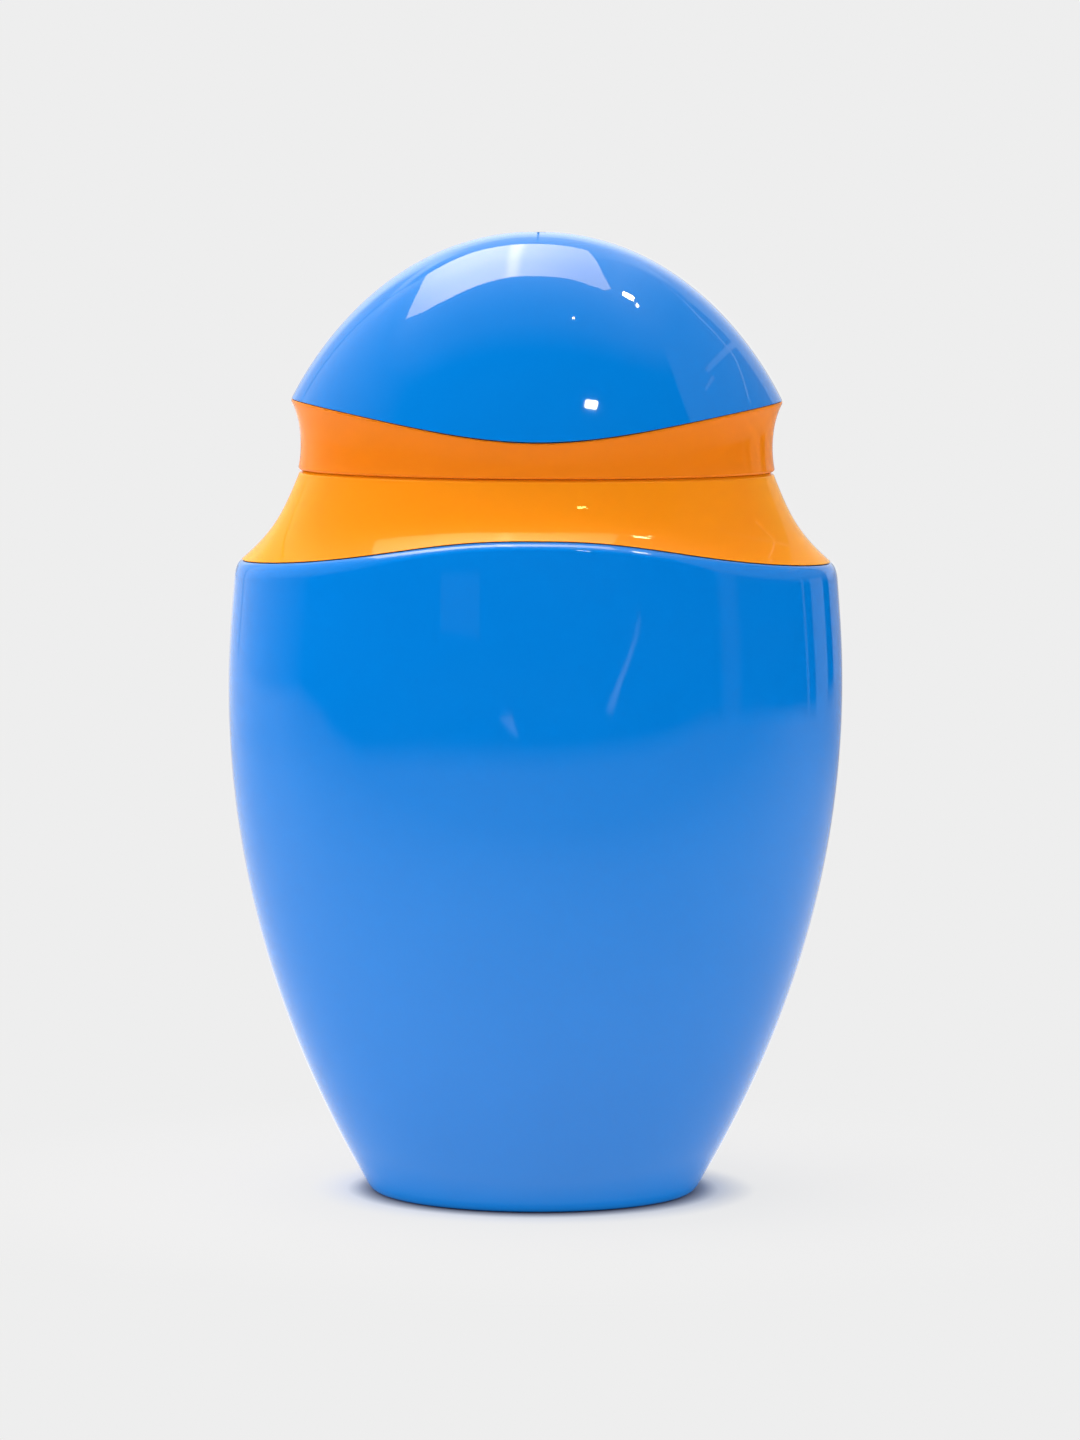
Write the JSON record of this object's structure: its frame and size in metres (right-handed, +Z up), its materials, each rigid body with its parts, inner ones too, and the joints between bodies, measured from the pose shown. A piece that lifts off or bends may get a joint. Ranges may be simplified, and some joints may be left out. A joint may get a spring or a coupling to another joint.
{
  "type": "sunscreen bottle",
  "caption": "Oval plastic sunscreen bottle with a flared shoulder collar, a pouring nozzle in the neck and a domed screw cap that turns and rises off it.",
  "frame": {"origin": "middle of the base, on the surface that the bottle stands on", "axes": "+Z up through the neck and the cap, X along the wide direction of the oval, -Y out of the wide face that the picture shows"},
  "size_m": [0.0636, 0.0394, 0.1],
  "materials": {
    "bottle_blue": "high gloss",
    "collar_orange": "high gloss",
    "natural_plastic": "satin, slightly milky",
    "liner_foam": "matt foam"
  },
  "bodies": {
    "bottle": {"bottle": "bottle_blue", "shoulder_collar": "collar_orange", "nozzle_plug": "natural_plastic"},
    "liner": {"seal_liner": "liner_foam"},
    "cap": {"inner_cap": "natural_plastic", "cap_skirt": "collar_orange", "cap_dome": "bottle_blue"}
  },
  "joints": [
    {"name": "cap_rise", "type": "slide", "parent": "bottle", "child": "liner", "axis": [0, 0, 1], "range_m": [0, 0.0165]},
    {"name": "cap_turn", "type": "hinge", "parent": "liner", "child": "cap", "pos_m": [0, 0, 0.0756], "axis": [0, 0, 1], "range_deg": [0, 990]}
  ],
  "couplings": [
    {"joint": "cap_rise", "follows": "cap_turn", "m_per_rad": 0.00095493}
  ]
}
